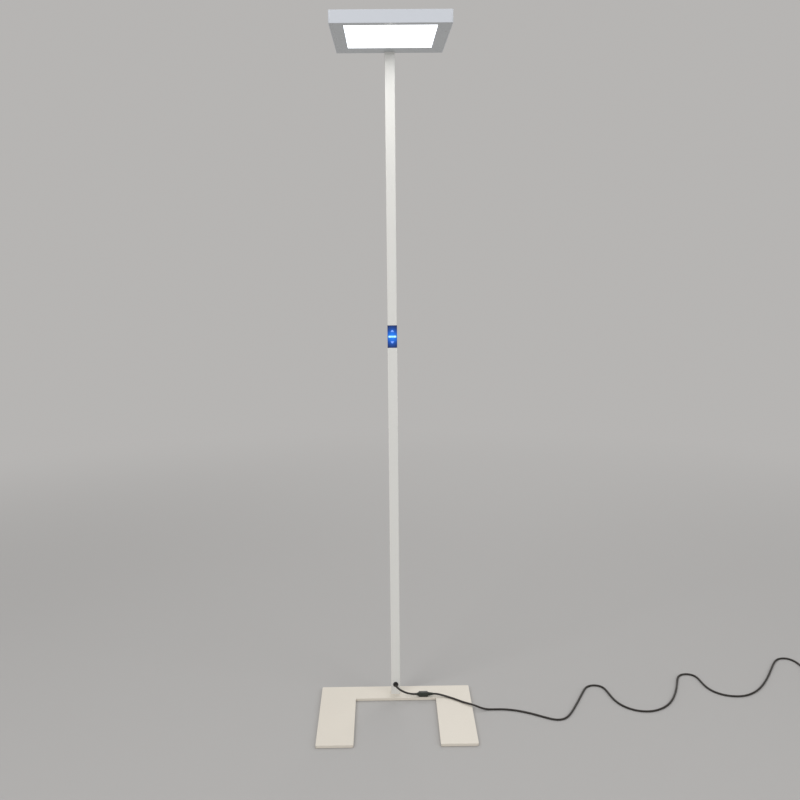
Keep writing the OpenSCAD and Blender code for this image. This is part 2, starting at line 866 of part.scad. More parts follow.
module foot_plate() {
    color("linen") difference() {
        translate([0, 0, pad_t]) linear_extrude(foot_t) {
            outline(foot_w, beam_d, foot_r);
            for (x = [-leg_x, leg_x])
                translate([x, (foot_back + foot_front) / 2]) outline(leg_w, foot_d, foot_r);
        }
        at_bolts() countersink(bolt_r, bolt_head_r, foot_t);
    }
}

module foot_pads() {
    seam = 2;
    leg_l = foot_d - beam_d - pad_inset;
    color("black") {
        block(0, -beam_d / 2 + pad_inset, 0, [foot_w - 2 * pad_inset, beam_d - 2 * pad_inset, pad_t]);
        for (x = [-leg_x, leg_x])
            block(x, foot_front + pad_inset, 0,
                [leg_w - 2 * pad_inset, leg_l + pad_inset - seam, pad_t]);
    }
}

// ---------------------------------------------------------------- mains lead

// Rounded half of the coupler, running from z = 0, with its relief beyond it
module coupler_half(body_l, relief_l) {
    slab(coupler_w, coupler_w, body_l, coupler_r);
    translate([0, 0, body_l])
        cylinder(r1 = cord_r + relief_root, r2 = cord_r + relief_skin, h = relief_l);
}

module lead_cord() {
    color([0.08, 0.08, 0.08]) tube(lead_route, cord_r, lead_rings);
}

module coupler_socket() {
    color([0.1, 0.1, 0.1]) translate([coupler_joint, coupler_y, coupler_z]) rotate([0, -90, 0])
        coupler_half(socket_l, relief_in);
}

module coupler_plug() {
    color([0.1, 0.1, 0.1]) translate([coupler_joint, coupler_y, coupler_z]) rotate([0, 90, 0])
        coupler_half(plug_l, relief_out);
}

module mains_cord() {
    color([0.08, 0.08, 0.08]) tube(mains_route, cord_r, mains_rings);
}

module cord_tail() {
    color([0.08, 0.08, 0.08]) tube(tail_route, cord_r, tail_rings);
}

module cord_coil() {
    color([0.08, 0.08, 0.08]) translate(coil_at) rotate_extrude()
        translate([(coil_r + coil_out) / 2, coil_h / 2])
            outline(coil_out - coil_r + cord_d, coil_h, coil_edge);
}

module cord_tie() {
    inside = coil_out - coil_r + cord_d;
    middle = (coil_r + coil_out) / 2;
    color("dimgray") translate(coil_at) difference() {
        translate([middle - inside / 2 - tie_t, -tie_w / 2, 0])
            cube([inside + 2 * tie_t, tie_w, coil_h + tie_t]);
        rotate_extrude() translate([middle - inside / 2, tie_under])
            square([inside, coil_h - tie_under]);
    }
}

module mains_plug() {
    face = plug_grip_l + plug_relief_l;
    translate(plug_end) rotate([90, 0, 0]) color([0.1, 0.1, 0.1]) difference() {
        union() {
            cylinder(r1 = cord_r + relief_skin, r2 = plug_relief_r, h = plug_relief_l);
            translate([0, 0, plug_relief_l])
                cylinder(r1 = plug_relief_r + plug_shoulder, r2 = plug_grip_r, h = plug_grip_l);
            translate([0, 0, face]) cylinder(r = plug_r, h = plug_face_l);
        }
        for (y = [-1, 1])
            translate([-earth_w / 2, y * plug_r - (y > 0 ? earth_depth : 0), face + earth_depth])
                cube([earth_w, earth_depth, plug_face_l]);
        for (x = [-pin_gap / 2, pin_gap / 2])
            translate([x, 0, face + plug_face_l - pin_root])
                cylinder(r = pin_d / 2, h = pin_root + eps);
    }
}

module plug_pins() {
    face = plug_grip_l + plug_relief_l + plug_face_l;
    color("silver") translate(plug_end) rotate([90, 0, 0])
        for (x = [-pin_gap / 2, pin_gap / 2])
            translate([x, 0, face - pin_root]) cylinder(r = pin_d / 2, h = pin_l + pin_root);
}

module plug_earth() {
    face = plug_grip_l + plug_relief_l;
    color("gold") translate(plug_end) rotate([90, 0, 0])
        for (y = [-1, 1])
            translate([-earth_w / 2,
                y > 0 ? plug_r - earth_depth : earth_depth - plug_r - earth_t, face + earth_depth])
                cube([earth_w, earth_t, plug_face_l - earth_depth]);
}

head_housing();
head_frame();
diffuser();
light_guide();
reflector_sheet();
panel_back();
heat_rails();
led_boards();
leds();
panel_screws();
frame_screws();
head_bracket();
bracket_screws();
driver();
dimmer_module();
terminal_block();
head_wiring();
upper_pole();
lower_pole();
pole_core();
set_screws();
control_housing();
control_cover();
control_board();
tact_switches();
control_leds();
light_bar();
key_up();
key_up_symbol();
key_down();
key_down_symbol();
control_cable();
supply_cable();
grommet();
foot_block();
foot_bolts();
foot_plate();
foot_pads();
lead_cord();
coupler_socket();
coupler_plug();
mains_cord();
cord_tail();
cord_coil();
cord_tie();
mains_plug();
plug_pins();
plug_earth();
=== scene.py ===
"""Office floor lamp: a flat lit head on a slim square pole, on a U-shaped foot plate.

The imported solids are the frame. This script gives each of them its finish, and adds
the pieces that need softer edges or a finer shape than the solids have.
"""

import math

import bmesh
import bpy
from mathutils import Matrix, Vector


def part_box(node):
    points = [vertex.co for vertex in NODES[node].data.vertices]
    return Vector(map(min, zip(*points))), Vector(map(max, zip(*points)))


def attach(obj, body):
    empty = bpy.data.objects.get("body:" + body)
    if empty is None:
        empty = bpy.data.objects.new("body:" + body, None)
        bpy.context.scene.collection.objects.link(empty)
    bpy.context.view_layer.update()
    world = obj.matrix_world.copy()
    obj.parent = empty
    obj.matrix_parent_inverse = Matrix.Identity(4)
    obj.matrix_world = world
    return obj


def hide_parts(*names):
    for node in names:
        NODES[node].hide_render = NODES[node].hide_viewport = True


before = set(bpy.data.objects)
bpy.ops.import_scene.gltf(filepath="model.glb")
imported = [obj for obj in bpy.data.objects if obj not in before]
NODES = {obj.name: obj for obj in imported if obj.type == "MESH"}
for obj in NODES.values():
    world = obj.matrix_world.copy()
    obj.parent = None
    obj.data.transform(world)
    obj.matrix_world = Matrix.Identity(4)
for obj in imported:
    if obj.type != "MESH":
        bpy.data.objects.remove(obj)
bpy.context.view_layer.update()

bl_info = {
    "name": "Office Floor Lamp",
    "version": (1, 0, 0),
    "blender": (4, 5, 0),
    "location": "View3D > Sidebar > Floor Lamp",
    "description": "Builds an office floor lamp around its packed solids",
    "category": "Add Mesh",
}

MM = 0.001
BODY = "lamp"
UP = Vector((0, 0, 1))

# The photograph's camera
IMAGE_PIXELS = 800
FOCAL_PIXELS = 1150
SENSOR_MM = 36
CAMERA_AT = (-0.02511, -3.36617, 1.46312)
CAMERA_TURN = -0.013717
CAMERA_DOWN = 0.159159
CAMERA_ROLL = -0.00876
CAMERA_CLIP = (0.05, 100)

# The studio: each light's name, place, width and power, and what they aim at
STUDIO_LIGHTS = (
    ("key_light", (-2.6, -3.4, 3.6), 2.4, 78),
    ("fill_light", (3.2, -2.6, 2.4), 2.6, 42),
    ("back_light", (0.8, 3.6, 3.2), 2.4, 42),
)
STUDIO_AIM = (0, -0.15, 0.9)

# Strength of the even light from all round
WORLD_LIGHT = 0.55

# The floor's radius, and between which distances it fades into the background
FLOOR_RADIUS = 30
FLOOR_FADE = (1.5, 4.5)

# Routes of the lead, in metres, as they are in the solids
LEAD_ROUTE = [
    (0, -0.017, 0.040), (0, -0.024, 0.040), (0.005, -0.037, 0.038),
    (0.019, -0.046, 0.031), (0.036, -0.042, 0.022), (0.051, -0.034, 0.0163),
    (0.063, -0.034, 0.0163),
]
MAINS_ROUTE = [
    (0.113, -0.034, 0.0163), (0.127, -0.034, 0.0163), (0.152, -0.042, 0.0118),
    (0.180, -0.065, 0.0118), (0.206, -0.092, 0.0118), (0.234, -0.116, 0.015),
    (0.264, -0.125, 0.003), (0.300, -0.121, 0.003), (0.350, -0.126, 0.003),
    (0.410, -0.160, 0.003), (0.460, -0.204, 0.003), (0.494, -0.200, 0.003),
    (0.518, -0.158, 0.003), (0.550, -0.080, 0.003), (0.578, -0.008, 0.003),
    (0.594, 0.034, 0.003), (0.621, 0.048, 0.003), (0.648, 0.034, 0.003),
    (0.655, -0.006, 0.003), (0.665, -0.092, 0.003), (0.706, -0.148, 0.003),
    (0.764, -0.160, 0.003), (0.826, -0.110, 0.003), (0.870, -0.004, 0.003),
    (0.892, 0.076, 0.003), (0.904, 0.112, 0.003), (0.931, 0.126, 0.003),
    (0.958, 0.112, 0.003), (0.963, 0.072, 0.003), (0.968, 0, 0.003),
    (1.004, -0.050, 0.003), (1.066, -0.062, 0.003), (1.128, -0.010, 0.003),
    (1.190, 0.096, 0.003), (1.242, 0.206, 0.003), (1.268, 0.242, 0.003),
    (1.302, 0.244, 0.003), (1.321, 0.208, 0.003), (1.324, 0.140, 0.003),
    (1.324, 0.080, 0.003),
]
TAIL_ROUTE = [
    (1.324, 0.080, 0.015), (1.324, 0.068, 0.015), (1.324, 0.050, 0.009),
    (1.324, 0.032, 0.0034), (1.324, 0.012, 0.003), (1.324, -0.008, 0.003),
    (1.324, -0.026, 0.008), (1.324, -0.042, 0.017), (1.324, -0.056, 0.0185),
    (1.324, -0.068, 0.0185),
]

# Steps between two points of a route, and the least step that is kept
LEAD_STEPS = 10
MAINS_STEPS = 8
LEAST_STEP = 0.2 * MM

# Coil: the radius of its inner turns, the share of a turn in which the cord moves to the
# next turn's place, the share of the last turn in which it rises over its own start, and
# how far it swings inwards as it climbs, as a share of its thickness
COIL_TURNS = 4
COIL_STEPS = 48
COIL_RADIUS = 0.0285
COIL_SHIFT = (0.70, 1.0)
COIL_RISE = (0.54, 0.84)
COIL_SWING = 0.25

# Strain reliefs: the skin over the cord and the edge at the tip, the share of each ring's
# pitch that is cut away, and the slope of a cut's ends as a share of the relief's length
RELIEF_SKIN = 0.8 * MM
RELIEF_TIP = 0.3 * MM
RELIEF_CUT = (0.35, 0.75)
RELIEF_SLOPE = 0.04

# Coupler: the length of a half without its relief, the radii of its edges, how much
# thicker than its tip the relief starts, the depth of its rings, and how many it has
COUPLER_BODY = 14 * MM
COUPLER_CORNER = 3.6 * MM
COUPLER_SHOULDER = 2.2 * MM
COUPLER_JOINT = 0.4 * MM
COUPLER_RELIEF = 2.2 * MM
COUPLER_CUT = 1.0 * MM
LEAD_SIDE_RIBS = 3
MAINS_SIDE_RIBS = 5

# Plug: the depth of its face piece, the rounding of its rims, and its relief, which ends
# a little short of the solid
PLUG_FACE = 15 * MM
PLUG_RIM = 0.6 * MM
PLUG_RELIEF = 27.5 * MM
PLUG_RELIEF_SHORT = 0.5 * MM
PLUG_RELIEF_ROOT = 6.2 * MM
PLUG_RELIEF_SKIN = 1.6 * RELIEF_SKIN
PLUG_RELIEF_CUT = 0.8 * MM
PLUG_RIBS = 8

# Rounding of the coil tie's edges
TIE_EDGE = 0.4 * MM

# Grommet: the depth of its flange, the radii of its neck, lip and mouth, and the steps in
# a quarter round
GROMMET_OUT = 3 * MM
GROMMET_NECK = 4.95 * MM
GROMMET_LIP = 1.6 * MM
GROMMET_MOUTH = 0.4 * MM
GROMMET_ARC = 6

# How far in from the outside an edge still counts as the outer one
HEAD_RIM_ZONE = 3 * MM
PLUG_RIM_ZONE = 3 * MM
POLE_END_ZONE = 1.8 * MM

# Half the width of the zone under the foot plate that holds the bolts
BOLT_ZONE = 30 * MM

# How far beyond a symbol's side an edge still counts as the symbol's
SYMBOL_PLAY = 0.5 * MM

# How near to an edge of a solid a point counts as on it
ON_EDGE = 0.05 * MM

# Points nearer than this become one, in a copy of a solid and in a turned shape
SOLID_MERGE = 0.002 * MM
TURNED_MERGE = 0.01 * MM

# Angles between faces: up to LEVEL they are one flat face, up to CURVED they are parts
# of a round one, and past SHARP they are shaded apart
LEVEL = math.radians(0.5)
CURVED = math.radians(35)
SHARP = math.radians(50)

# Area to perimeter past which a face counts as broad, and is shaded flat
BROAD = 1.0 * MM

# Light window: how far from its edge the rim's tint starts and is full
WINDOW_RIM = (22 * MM, 4 * MM)

# Control: half height and half width of the glow's core and of the painted bloom round it,
# the place and half width of the bar's lights, where the bar's tips grow dim, and a symbol's
# lit middle
GLOW_CORE = (11 * MM, 13 * MM)
PAINTED_BLOOM_SIZE = (25 * MM, 16 * MM)
BAR_LIGHT_AT = 7.5 * MM
BAR_LIGHT = 3 * MM
BAR_MIDDLE_SHARE = 0.4
BAR_TIP = (9 * MM, 12.5 * MM)
SYMBOL_LIGHT = 4.5 * MM

# Heights between which the painted shade along the foot plate's low edge fades out
FOOT_PAINTED_SHADE = (1 * MM, 4 * MM)

# Tints within a finish
SCUFF = (0.45, 0.42, 0.38)
WINDOW_RIM_TINT = (0.86, 0.91, 1.0)
COVER_BLACK = (0.005, 0.006, 0.010)
COVER_DARK = (0.0, 0.001, 0.003)
BAR_LIGHT_TINT = (0.62, 1.0, 1.0)
CLEAR = (1, 1, 1)

# Colours of the metals, the boards, the inner pieces and the small black ones
ZINC = (0.62, 0.62, 0.63)
NICKEL = (0.83, 0.82, 0.80)
BRASS = (0.82, 0.66, 0.36)
STEEL = (0.42, 0.43, 0.45)
PRESSED_ALUMINIUM = (0.70, 0.71, 0.73)
ROLLED_ALUMINIUM = (0.72, 0.73, 0.75)
ACRYLIC_DOTS = (0.90, 0.94, 0.96)
FILM_WHITE = (0.88, 0.88, 0.87)
BOARD_WHITE = (0.70, 0.70, 0.66)
BOARD_GREEN = (0.03, 0.16, 0.07)
LENS_YELLOW = (0.86, 0.72, 0.22)
CASE_WHITE = (0.82, 0.82, 0.80)
TERMINAL_CREAM = (0.74, 0.70, 0.60)
WIRE_RED = (0.50, 0.04, 0.03)
SOFT_BLACK = (0.03, 0.03, 0.03)
TIE_BLACK = (0.035, 0.035, 0.038)
GROMMET_BLACK = (0.020, 0.020, 0.021)
HOUSING_BLACK = (0.008, 0.008, 0.010)
SMALL_LIGHT_BLUE = (0.25, 0.55, 1.0)


# ---------------------------------------------------------------- materials


class Wire:
    """An output of a shader node, on which Python's operators work."""

    def __init__(self, finish, socket):
        self.finish = finish
        self.socket = socket

    def maths(self, operation, *values):
        sockets = dict(enumerate(values))
        return self.finish.node("ShaderNodeMath", {"operation": operation}, sockets)

    def __add__(self, other):
        return self.maths("ADD", self, other)

    __radd__ = __add__

    def __sub__(self, other):
        return self.maths("SUBTRACT", self, other)

    def __rsub__(self, other):
        return self.maths("SUBTRACT", other, self)

    def __mul__(self, other):
        return self.maths("MULTIPLY", self, other)

    __rmul__ = __mul__

    def __truediv__(self, other):
        return self.maths("DIVIDE", self, other)

    def __rtruediv__(self, other):
        return self.maths("DIVIDE", other, self)

    def __pow__(self, other):
        return self.maths("POWER", self, other)

    def __rpow__(self, other):
        return self.maths("POWER", other, self)

    def beside(self, output):
        """Another output of the same node."""
        return Wire(self.finish, self.socket.node.outputs[output])

    def largest(self, other):
        return self.maths("MAXIMUM", self, other)

    def size(self):
        return self.maths("ABSOLUTE", self)

    def bell(self, middle, width):
        """1 at the middle, falling off as a bell curve of that half width."""
        far = (self - middle) / width
        return self.maths("EXPONENT", -1 * (far * far))

    def ramp(self, low, high, out_low=0.0, out_high=1.0):
        """This value's place between low and high, smoothed and clamped."""
        sockets = {
            "Value": self, "From Min": low, "From Max": high,
            "To Min": out_low, "To Max": out_high}
        return self.finish.node(
            "ShaderNodeMapRange", {"interpolation_type": "SMOOTHSTEP"}, sockets)


class Finish:
    """The node tree of a material or of the world, in the making."""

    def __init__(self, owner):
        self.owner = owner
        owner.use_nodes = True
        self.tree = owner.node_tree
        self.tree.nodes.clear()

    def node(self, kind, settings=None, sockets=None, output=0):
        """Adds a node. Its settings come first, then its sockets' values or links."""
        made = self.tree.nodes.new(kind)
        for name, value in (settings or {}).items():
            setattr(made, name, value)
        for key, value in (sockets or {}).items():
            if isinstance(value, Wire):
                self.tree.links.new(value.socket, made.inputs[key])
            else:
                made.inputs[key].default_value = value
        return Wire(self, made.outputs[output]) if len(made.outputs) else None

    def place(self):
        """The point on the piece, in metres in the lamp's own frame."""
        return self.node("ShaderNodeTexCoord", output="Object")

    def axis(self, letter):
        """That point's X, Y or Z as a value."""
        return self.node(
            "ShaderNodeSeparateXYZ", sockets={"Vector": self.place()}, output=letter)

    def noise(self, scale, detail=3.0, stretch=(1, 1, 1)):
        """Soft noise from 0 to 1, with so many features to a metre."""
        where = self.node(
            "ShaderNodeMapping", sockets={"Vector": self.place(), "Scale": stretch})
        return self.node(
            "ShaderNodeTexNoise", sockets={"Vector": where, "Scale": scale, "Detail": detail})

    def speckle(self, scale):
        """Distance to the nearest of many scattered points, for grain."""
        return self.node(
            "ShaderNodeTexVoronoi", sockets={"Vector": self.place(), "Scale": scale})

    def blend(self, factor, first, second):
        """A colour between two colours."""
        return self.node(
            "ShaderNodeMix", {"data_type": "RGBA"}, {0: factor, 6: first, 7: second}, output=2)

    def bump(self, height, distance, strength=1.0):
        """A surface normal from a height."""
        return self.node(
            "ShaderNodeBump",
            sockets={"Height": height, "Distance": distance, "Strength": strength})

    def shader(self, **sockets):
        """The Principled shader, ready as the surface. Names use _ for a space."""
        named = {key.replace("_", " "): value for key, value in sockets.items()}
        surface = self.node("ShaderNodeBsdfPrincipled", sockets=named)
        self.node("ShaderNodeOutputMaterial", sockets={"Surface": surface})
        return self.owner


def new_finish(name):
    """An empty material of that name."""
    return Finish(bpy.data.materials.new(name))


def rgb(colour, shade=1.0):
    """A colour with its alpha, a shade lighter or darker."""
    return tuple(min(1.0, part * shade) for part in colour[:3]) + (1.0,)


def powder_coat(name, colour, rough=0.42, grain=0.06 * MM):
    """Powder-coated metal: fine orange peel, with faint cloudiness."""
    f = new_finish(name)
    cloud = f.noise(9, 4)
    peel = f.noise(850, 2)
    fine = f.noise(2600, 1)
    return f.shader(
        Base_Color=f.blend(cloud, rgb(colour, 0.975), rgb(colour, 1.015)),
        Roughness=cloud * 0.08 + peel * 0.06 + (rough - 0.07),
        Normal=f.bump(peel + fine * 0.4, grain),
    )


def foot_coat_with_painted_shade(name, colour):
    """The foot's thicker coat, with faint rub marks where shoes and floors touch it, and painted
    shade along its low edge.
    """
    f = new_finish(name)
    cloud = f.noise(7, 5)
    peel = f.noise(620, 2)
    rub = f.noise(60, 6, (1, 5, 1)).ramp(0.56, 0.8)
    # Painted shade: the plate darkens towards the floor over its lowest few millimetres
    low = 1 - f.axis("Z").ramp(*FOOT_PAINTED_SHADE)
    tone = f.blend(cloud, rgb(colour, 0.97), rgb(colour, 1.02))
    worn = f.blend(rub * 0.10, tone, rgb(SCUFF))
    return f.shader(
        Base_Color=f.blend(low * 0.15, worn, rgb(colour, 0.55)),
        Roughness=cloud * 0.08 + rub * 0.08 + 0.40,
        Normal=f.bump(peel, 0.08 * MM),
    )


def opal(name, colour, strength):
    """Lit opal plastic with small prisms moulded in, a little darker at its rim."""
    f = new_finish(name)
    low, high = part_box("diffuser")
    start, full = WINDOW_RIM
    along = f.axis("Y")
    sides = f.axis("X").size().ramp(high.x - start, high.x - full)
    front = along.ramp(low.y + full, low.y + start, 1, 0)
    back = along.ramp(high.y - start, high.y - full)
    rim = sides.largest(front).largest(back)
    prisms = f.node(
        "ShaderNodeTexVoronoi", {"distance": "CHEBYCHEV"},
        {"Vector": f.place(), "Scale": 420, "Randomness": 0.0})
    return f.shader(
        Base_Color=rgb(colour),
        Roughness=prisms * 0.1 + 0.35,
        Emission_Color=f.blend(rim, rgb(colour), rgb(WINDOW_RIM_TINT)),
        Emission_Strength=strength,
        Normal=f.bump(prisms, 0.3 * MM),
    )


def black_with_glow_and_painted_bloom(name, glow, strength):
    """Black gloss plastic, glowing blue: the light behind it showing through, with a painted
    bloom of the light bar's light spread over its face.
    """
    f = new_finish(name)
    low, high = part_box("control_cover")
    middle = (low.z + high.z) / 2
    across = f.axis("X")
    up = f.axis("Z")
    # Painted light: the core and the wider bell make a blue glow that is partly the light behind
    # the cover and partly painted bloom of the light bar
    core = up.bell(middle, GLOW_CORE[0]) * across.bell(0, GLOW_CORE[1])
    painted_bloom = up.bell(middle, PAINTED_BLOOM_SIZE[0]) * across.bell(0, PAINTED_BLOOM_SIZE[1])
    faint = (0.0, glow[1] * 0.6, glow[2] * 0.85)
    dust = f.noise(900, 4)
    light = f.blend(painted_bloom, rgb(COVER_DARK), rgb(faint))
    light = f.blend(core, light, rgb(glow))
    return f.shader(
        Base_Color=rgb(COVER_BLACK),
        Roughness=dust * 0.1 + 0.2,
        Coat_Weight=0.1,
        Emission_Color=light,
        Emission_Strength=strength,
    )


def lit_bar(name, colour, strength):
    """Clear bar over a light near each end and a weaker one in its middle."""
    f = new_finish(name)
    across = f.axis("X")
    middle = across.bell(0, BAR_LIGHT) * BAR_MIDDLE_SHARE
    spots = across.size().bell(BAR_LIGHT_AT, BAR_LIGHT) + middle
    tips = across.size().ramp(*BAR_TIP)
    frost = f.noise(1800, 2)
    light = f.blend(spots, rgb(colour), rgb(BAR_LIGHT_TINT))
    return f.shader(
        Base_Color=rgb(colour, 0.2),
        Roughness=frost * 0.1 + 0.25,
        Emission_Color=f.blend(tips, light, rgb(colour, 0.45)),
        Emission_Strength=strength,
    )


def lit_symbol(name, colour, strength):
    """Frosted inlay, lit from behind, brightest at its middle."""
    f = new_finish(name)
    middle = f.axis("X").bell(0, SYMBOL_LIGHT)
    frost = f.noise(2200, 2)
    return f.shader(
        Base_Color=rgb(colour, 0.2),
        Roughness=frost * 0.12 + 0.3,
        Emission_Color=f.blend(middle, rgb(colour, 0.7), rgb(colour, 1.2)),
        Emission_Strength=strength,
    )


def black_gloss(name, colour):
    """Polished black plastic with fine hairlines."""
    f = new_finish(name)
    hair = f.noise(300, 3, (1, 1, 12))
    smudge = f.noise(45, 5)
    return f.shader(
        Base_Color=f.blend(smudge, rgb(colour), rgb(colour, 1.6)),
        Roughness=hair * 0.06 + smudge * 0.1 + 0.14,
        Coat_Weight=0.15,
        Normal=f.bump(hair, 0.004 * MM),
    )


def moulded(name, colour, rough=0.45, grain=0.05 * MM, scale=1500):
    """Moulded plastic with a fine spark-eroded texture."""
    f = new_finish(name)
    spark = f.speckle(scale)
    cloud = f.noise(40, 4)
    return f.shader(
        Base_Color=f.blend(cloud, rgb(colour, 0.9), rgb(colour, 1.12)),
        Roughness=spark * 0.12 + cloud * 0.08 + (rough - 0.08),
        Normal=f.bump(spark, grain),
    )


def cord_sheath(name, colour):
    """Soft black sheath: fine rubbed texture, dust here and there."""
    f = new_finish(name)
    dust = f.noise(70, 6).ramp(0.5, 0.8)
    skin = f.noise(1400, 3)
    return f.shader(
        Base_Color=f.blend(dust * 0.25, rgb(colour), rgb(colour, 2.6)),
        Roughness=dust * 0.2 + skin * 0.08 + 0.42,
        Normal=f.bump(skin, 0.04 * MM),
    )


def brushed(name, colour, rough=0.32, stretch=(1, 30, 30)):
    """Bare metal with fine brush lines along one axis."""
    f = new_finish(name)
    lines = f.noise(130, 3, stretch)
    cloud = f.noise(30, 4)
    return f.shader(
        Base_Color=f.blend(cloud, rgb(colour, 0.92), rgb(colour, 1.04)),
        Metallic=1.0,
        Roughness=lines * 0.16 + cloud * 0.06 + (rough - 0.1),
        Normal=f.bump(lines, 0.01 * MM),
    )


def plated(name, colour, rough=0.25):
    """Plated screws and pins, with light handling marks."""
    f = new_finish(name)
    marks = f.noise(500, 4)
    return f.shader(
        Base_Color=f.blend(marks, rgb(colour, 0.9), rgb(colour, 1.05)),
        Metallic=1.0,
        Roughness=marks * 0.18 + (rough - 0.08),
        Normal=f.bump(marks, 0.006 * MM),
    )


def board(name, colour):
    """Circuit board lacquer over faint tracks."""
    f = new_finish(name)
    tracks = f.node(
        "ShaderNodeTexBrick", {"offset": 0.3},
        {"Vector": f.place(), "Scale": 160, "Mortar Size": 0.03,
         "Color1": rgb(colour, 0.85), "Color2": rgb(colour, 1.2), "Mortar": rgb(colour, 1.8)})
    gloss = f.noise(200, 2)
    return f.shader(Base_Color=tracks, Roughness=gloss * 0.15 + 0.25)


def clear_plastic(name, colour):
    """Edge-lit acrylic with its grid of printed dots."""
    f = new_finish(name)
    dots = f.speckle(500).ramp(0.1, 0.25)
    return f.shader(
        Base_Color=f.blend(dots, rgb(CLEAR), rgb(colour)),
        Roughness=dots * -0.2 + 0.3,
    )


def pad_rubber(name, colour):
    """Foamed rubber with open cells."""
    f = new_finish(name)
    cells = f.speckle(900)
    return f.shader(
        Base_Color=f.blend(cells, rgb(colour, 0.8), rgb(colour, 1.4)),
        Roughness=cells * 0.1 + 0.75,
        Normal=f.bump(cells, 0.2 * MM),
    )


# ---------------------------------------------------------------- shapes


def add_piece(name, shape, material, body=BODY, replaces=()):
    """Turns a bmesh into a piece of the lamp, with its finish and its body."""
    narrow = [face.calc_area() < BROAD * face.calc_perimeter() for face in shape.faces]
    mesh = bpy.data.meshes.new(name)
    shape.to_mesh(mesh)
    shape.free()
    # A solid's stored normals would leave streaks on its softened copy
    if "custom_normal" in mesh.attributes:
        mesh.attributes.remove(mesh.attributes["custom_normal"])
    mesh.set_sharp_from_angle(angle=SHARP)
    mesh.polygons.foreach_set("use_smooth", narrow)
    mesh.materials.append(material)
    piece = bpy.data.objects.new(name, mesh)
    bpy.context.scene.collection.objects.link(piece)
    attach(piece, body)
    if replaces:
        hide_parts(*replaces)
    return piece


def merged_copy(node):
    """A copy of a solid's mesh with its triangles merged into whole faces."""
    shape = bmesh.new()
    shape.from_mesh(NODES[node].data)
    bmesh.ops.remove_doubles(shape, verts=shape.verts, dist=SOLID_MERGE)
    bmesh.ops.dissolve_limit(
        shape, angle_limit=LEVEL, verts=shape.verts, edges=shape.edges)
    return shape


def soften(shape, width, pick, segments=3):
    """Rounds the sharp edges that pick chooses."""
    edges = [
        edge for edge in shape.edges
        if len(edge.link_faces) == 2
        and edge.calc_face_angle() > CURVED
        and pick(edge.verts[0].co, edge.verts[1].co)
    ]
    if not edges:
        raise RuntimeError("no edge to soften")
    bmesh.ops.bevel(
        shape, geom=edges, offset=width, offset_type="OFFSET", segments=segments,
        profile=0.5, affect="EDGES", clamp_overlap=True, material=-1)
    return shape


def ends(test):
    """Chooses edges whose two ends pass a test of a point."""
    return lambda a, b: test(a) and test(b)


def at_height(z):
    """Chooses edges that lie level at a height."""
    return ends(lambda point: abs(point.z - z) < ON_EDGE)


def outside(z, half):
    """Chooses edges at a height that lie outside a square of that half width."""
    return ends(lambda point: (
        abs(point.z - z) < ON_EDGE and max(abs(point.x), abs(point.y)) > half))


def turned(profile, steps=64):
    """A closed solid of revolution about Z, from points of radius and height."""
    shape = bmesh.new()
    verts = [shape.verts.new((radius, 0, height)) for radius, height in profile]
    edges = [shape.edges.new(pair) for pair in zip(verts, verts[1:])]
    bmesh.ops.spin(
        shape, geom=verts + edges, cent=(0, 0, 0), axis=UP, angle=math.tau,
        steps=steps, use_merge=True, use_duplicate=False)
    bmesh.ops.remove_doubles(shape, verts=shape.verts, dist=TURNED_MERGE)
    bmesh.ops.recalc_face_normals(shape, faces=shape.faces)
    return shape


def lay(shape, origin, direction):
    """Moves a shape made along Z to a place, with its Z along a direction."""
    way = Vector(direction).to_track_quat("Z", "Y").to_matrix().to_4x4()
    where = Matrix.Translation(Vector(origin)) @ way
    bmesh.ops.transform(shape, matrix=where, verts=shape.verts)
    return shape


def join(shape, other):
    """Adds one bmesh to another."""
    mesh = bpy.data.meshes.new("part")
    other.to_mesh(mesh)
    other.free()
    shape.from_mesh(mesh)
    bpy.data.meshes.remove(mesh)
    return shape


def ribbed(length, thick, thin, ribs, depth):
    """Profile of a strain relief: a taper with rings cut round it."""
    points = [(0, 0), (thick, 0)]
    for i in range(ribs):
        start, end = ((i + share) / ribs for share in RELIEF_CUT)
        bottom = ((start + RELIEF_SLOPE, depth), (end - RELIEF_SLOPE, depth))
        for share, cut in ((start, 0), *bottom, (end, 0)):
            radius = thick + (thin - thick) * share - cut
            points.append((radius, length * share))
    points += [(thin, length - RELIEF_TIP), (thin - RELIEF_TIP, length), (0, length)]
    return points


def spline(route, steps):
    """The uniform cubic spline that follows a route and rests on both its ends."""
    knots = [Vector(point) for point in [route[0]] * 2 + list(route) + [route[-1]] * 2]
    points = []
    for a, b, c, d in zip(knots, knots[1:], knots[2:], knots[3:]):
        for k in range(steps):
            t = k / steps
            points.append((
                (1 - t) ** 3 * a + (3 * t**3 - 6 * t * t + 4) * b
                + (3 * t + 3 * t * t - 3 * t**3 + 1) * c + t**3 * d) / 6)
    points.append(Vector(route[-1]))
    return points


def step_between(value, low, high):
    """0 below low, 1 above high, and smooth between them."""
    share = min(1.0, max(0.0, (value - low) / (high - low)))
    return share * share * (3 - 2 * share)


def coil_points(thick):
    """Four turns in two layers: in along the floor, out on the top."""
    inner, outer = COIL_RADIUS, COIL_RADIUS + thick
    low, high = thick / 2, thick * 1.5
    middle = Vector((MAINS_ROUTE[-1][0] + outer, MAINS_ROUTE[-1][1], 0))
    points = []
    for i in range(1, COIL_TURNS * COIL_STEPS):
        turn, part = divmod(i / COIL_STEPS, 1)
        shift = step_between(part, *COIL_SHIFT)
        swing = COIL_SWING * thick * math.sin(math.pi * shift) ** 2
        radius, height = [
            (outer - thick * shift, low),
            (inner - swing, low + thick * shift),
            (inner + thick * shift, high),
            (outer, high + thick * step_between(part, *COIL_RISE)),
        ][int(turn)]
        angle = math.pi + math.tau * part
        out = radius * Vector((math.cos(angle), math.sin(angle), 0))
        points.append(middle + out + height * UP)
    return points


